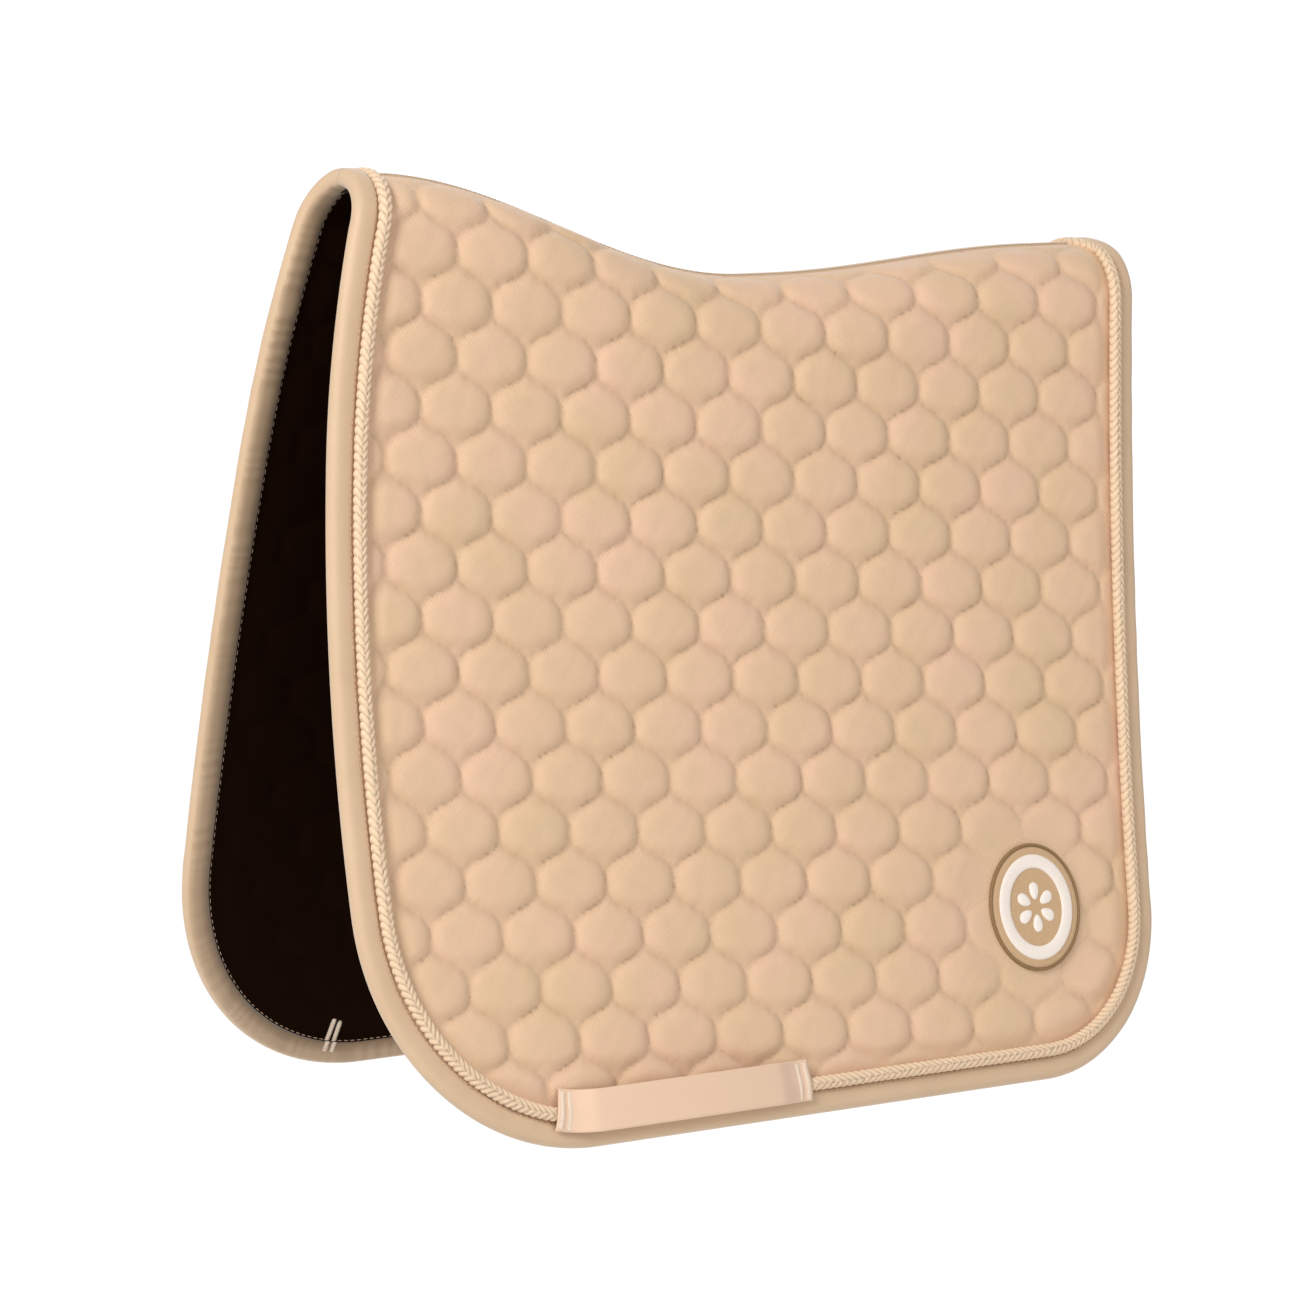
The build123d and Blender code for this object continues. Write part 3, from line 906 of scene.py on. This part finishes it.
seam_numbers = range(-26, 28)  # enough seams to cross the whole panel
down_pattern = np.arange(-8.0, 8.0, 0.02)  # from above the crest to below the hem, in pairs of rows
thread_thickness = 0.45
quilting_pitch, quilting_length = 4.4, 3.6
for side, way in sides.items():
    bm = bmesh.new()
    for number in seam_numbers:
        x, down = off_pattern(seam_place(number, seam_wave(down_pattern)), down_pattern)
        on_cloth = (x > front_x) & (x < rear_run) & (down > 6 - seam_run(x)) & (down < 480)
        x, down = x[on_cloth], down[on_cloth]
        if len(x) < 4:
            continue
        inside = edge_distance(x, on_pad(x, down, 0 * x, -1.0)[:, 2] / MM)
        clear = (inside > 23) & (fullness(x, down, inside, side) > 0.02)
        if clear.sum() < 4:
            continue
        x, down, inside = x[clear], down[clear], inside[clear]
        height = cover_height(x, down, inside, side) + 0.15
        stitched_line(bm, x, down, height, way, quilting_pitch, quilting_length, thread_thickness)
    quilting = add_thread(f"{side}_quilting_thread", bm, sewing_thread)
    crossing(quilting)
    bm = bmesh.new()
    rows = ((12.0, 0.05, 3.6, 2.7), (15.6, -8.7, 4.6, 3.5))  # inset, height, pitch and length on each face
    for inset, height, pitch, length in rows:
        line = edge_line(inset, 2.0)
        stitched_line(bm, *line, 0 * line[0] + height, way, pitch, length, thread_thickness)
    binding_thread = add_thread(f"{side}_binding_thread", bm, sewing_thread)
    crossing(binding_thread)

bm = bmesh.new()
for side, way in sides.items():
    x = np.linspace(band_front + 2, band_rear - 2, 260)
    stitched_line(bm, x, 3.2 - seam_run(x), 0 * x + band_crown - 0.2, way, 3.4, 2.6, 0.5)
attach(add_thread("spine_band_thread", bm, sewing_thread), "crest")

# Bar tacks hold the ends of each girth loop: short stitches side by side, through to the lining.
# Their thread is the sewing thread in a thicker, paler yarn.
tacking_thread = sewing_thread.copy()
tacking_thread.name = "polyester_tacking_thread"
yarn_tints = tacking_thread.node_tree.nodes["Color Ramp"].color_ramp.elements
yarn_tints[0].color = linear("#ecd2b8")
yarn_tints[1].color = linear("#f8e6d3")
tack_places = (2.6, 8.4)  # from the end of the webbing
tack_insets = np.arange(loop_inset - 10.5, loop_inset + 10.5, 0.6)
lining_face = np.where(tack_insets < lining_width + 0.5, -10.3, -9.0)  # over the binding, and past it
for side, way in sides.items():
    bm = bmesh.new()
    points, off, into, run = line_frame(*loop_line, way)
    for end, inwards in ((0.0, 1), (run[-1], -1)):
        for place in tack_places:
            at = end + inwards * (place + 0.4 * np.cos(np.arange(len(tack_insets)) * math.pi))
            foot, up, inner = (along_line(run, values, at) for values in (points, off, into))
            ahead = np.cross(up, inner)
            webbing_face = webbing_underside(tack_insets, place) + webbing_thickness + 0.1
            for height in (webbing_face, lining_face):
                middles = foot + inner * tack_insets[:, None] + up * height[:, None]
                stitches(bm, middles * MM, ahead, up, 3.6, 0.85)
    tacks = add_thread(f"{side}_bar_tacks", bm, tacking_thread)
    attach(tacks, f"{side}_flap")
    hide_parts(f"{side}_loop_bar_tacks")

# --------------------------------------------------------------------------------
# Badge: an oval patch of felted twill with an overlocked edge, a satin-stitched ring and a satin-
# stitched flower of six petals, sewn to the rear corner of the near flap.

badge_tilt = bottom_fall  # the badge stands square to the bottom edge
patch_height, rim_inset, rim_half_width = 1.5, 10.0, 4.2
patch_length, patch_rise = badge_half_length - 0.8, badge_half_height - 0.8


def on_badge(across, up, out):
    """Points in metres, from the place on the badge and the height off the pad."""
    x = badge_x + across * math.cos(badge_tilt) + up * math.sin(badge_tilt)
    down = badge_down + across * math.sin(badge_tilt) - up * math.cos(badge_tilt)
    return on_pad(x, down, out + 0 * x, -1.0)


def badge_piece(name, bm, cloth, node_name):
    """Finishes a piece of the badge, which rides on the near flap."""
    bmesh.ops.remove_doubles(bm, verts=bm.verts, dist=1e-6)
    bmesh.ops.recalc_face_normals(bm, faces=bm.faces)
    piece = new_piece(name, bm)
    piece.data.materials.append(cloth)
    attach(piece, "near_flap")
    if node_name:
        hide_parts(node_name)


def oval_ring(name, inset, half_width, half_height, middle, ridge, ridges, cloth, node_name):
    """A raised ring of thread round the badge, ridged across by its stitches."""
    bm, a, b = sheet_grid(ridges * 4, 14)
    turn, around = 2 * math.pi * a, 2 * math.pi * b
    stitch = ridge * np.cos(ridges * turn)
    out_from = (half_width + stitch) * np.cos(around)
    across = (patch_length - inset + out_from) * np.cos(turn)
    up = (patch_rise - inset + out_from) * np.sin(turn)
    height = middle + (half_height + stitch) * np.sign(np.sin(around)) * np.abs(np.sin(around)) ** 0.7
    move(bm, on_badge(across, up, height))
    lay_uv(bm, turn * patch_length, around)
    # Painted shade: darker in the hollows between the stitches.
    shade(bm, 0.5 - 0.5 * np.cos(ridges * turn))
    badge_piece(name, bm, cloth, node_name)


# Felted twill: matt and slightly hairy, a shade deeper than the cover.
felted_twill, tree, shader = material("felted_twill_patch")
shader.inputs["Roughness"].default_value = 0.85
place = node(tree, "ShaderNodeTexCoord").outputs["Object"]
felt = node(tree, "ShaderNodeTexNoise", Vector=place, Scale=700.0, Detail=3.0).outputs["Fac"]
tans = node(tree, "ShaderNodeValToRGB", Fac=felt)
tans.color_ramp.elements[0].color = linear("#bf9b74")
tans.color_ramp.elements[1].color = linear("#d4b28c")
tree.links.new(tans.outputs[0], shader.inputs["Base Color"])
bump = node(tree, "ShaderNodeBump", Height=felt, Strength=0.4, Distance=0.0003)
tree.links.new(bump.outputs[0], shader.inputs["Normal"])

# Overlock thread: dull brown, wound round the patch's edge, with painted shade between its turns.
overlock, tree, shader = material("overlock_thread")
shader.inputs["Roughness"].default_value = 0.6
tree.links.new(with_painted_shade(tree, linear("#9b7a4e"), "#66492a", 0.7), shader.inputs["Base Color"])

# Rayon satin stitch: near white and silky, in close parallel stitches with painted beige shade between them.
satin_stitch, tree, shader = material("rayon_satin_stitch")
shader.inputs["Roughness"].default_value = 0.35
shader.inputs["Sheen Weight"].default_value = 0.3
tree.links.new(with_painted_shade(tree, linear("#fffaf3"), "#e0bfa4", 0.7), shader.inputs["Base Color"])

bm, a, b = sheet_grid(96, 40)
turn = 2 * math.pi * a
patch_across, patch_up = (np.minimum(b, 1 - b) * 2 * size for size in (patch_length, patch_rise))
height = np.where(b < 0.5, patch_height - 0.5 * (2 * np.minimum(b, 0.5)) ** 12, 0.0)
move(bm, on_badge(patch_across * np.cos(turn), patch_up * np.sin(turn), height))
lay_uv(bm, patch_across * np.cos(turn), patch_up * np.sin(turn))
badge_piece("badge_patch_cloth", bm, felted_twill, "badge_patch")
oval_ring("badge_edging", 0.1, 0.9, 1.1, 0.6, 0.12, 190, overlock, None)
ring_middle = patch_height + 0.1
oval_ring("badge_ring", rim_inset, rim_half_width, 0.8, ring_middle, 0.07, 150, satin_stitch, "badge_rim")

petal_count, petal_middle, petal_half_length, petal_half_width = 6, 9.8, 5.25, 3.5
petal_stitches = 26  # how fast the stitches ridge a petal along its length
bm = bmesh.new()
for number in range(petal_count):
    petal = bmesh.new()
    bmesh.ops.create_uvsphere(petal, u_segments=40, v_segments=20, radius=1.0)
    shape = np.array([vertex.co for vertex in petal.verts])
    stitch = 1 + 0.06 * np.cos(shape[:, 0] * petal_stitches)
    along = petal_middle + petal_half_length * shape[:, 0]
    beside = petal_half_width * shape[:, 1] * stitch * (1 + 0.25 * shape[:, 0])
    turn = math.pi * (0.5 + 2 * number / petal_count)
    across = along * math.cos(turn) - beside * math.sin(turn)
    up = along * math.sin(turn) + beside * math.cos(turn)
    move(petal, on_badge(across, up, patch_height + shape[:, 2] * stitch))
    # Painted shade: darker in the hollows between the petal's stitches.
    shade(petal, 0.4 - 0.4 * np.cos(shape[:, 0] * petal_stitches))
    petal_mesh = bpy.data.meshes.new("petal")
    petal.to_mesh(petal_mesh)
    petal.free()
    bm.from_mesh(petal_mesh)
badge_piece("badge_flower", bm, satin_stitch, "badge_petals")
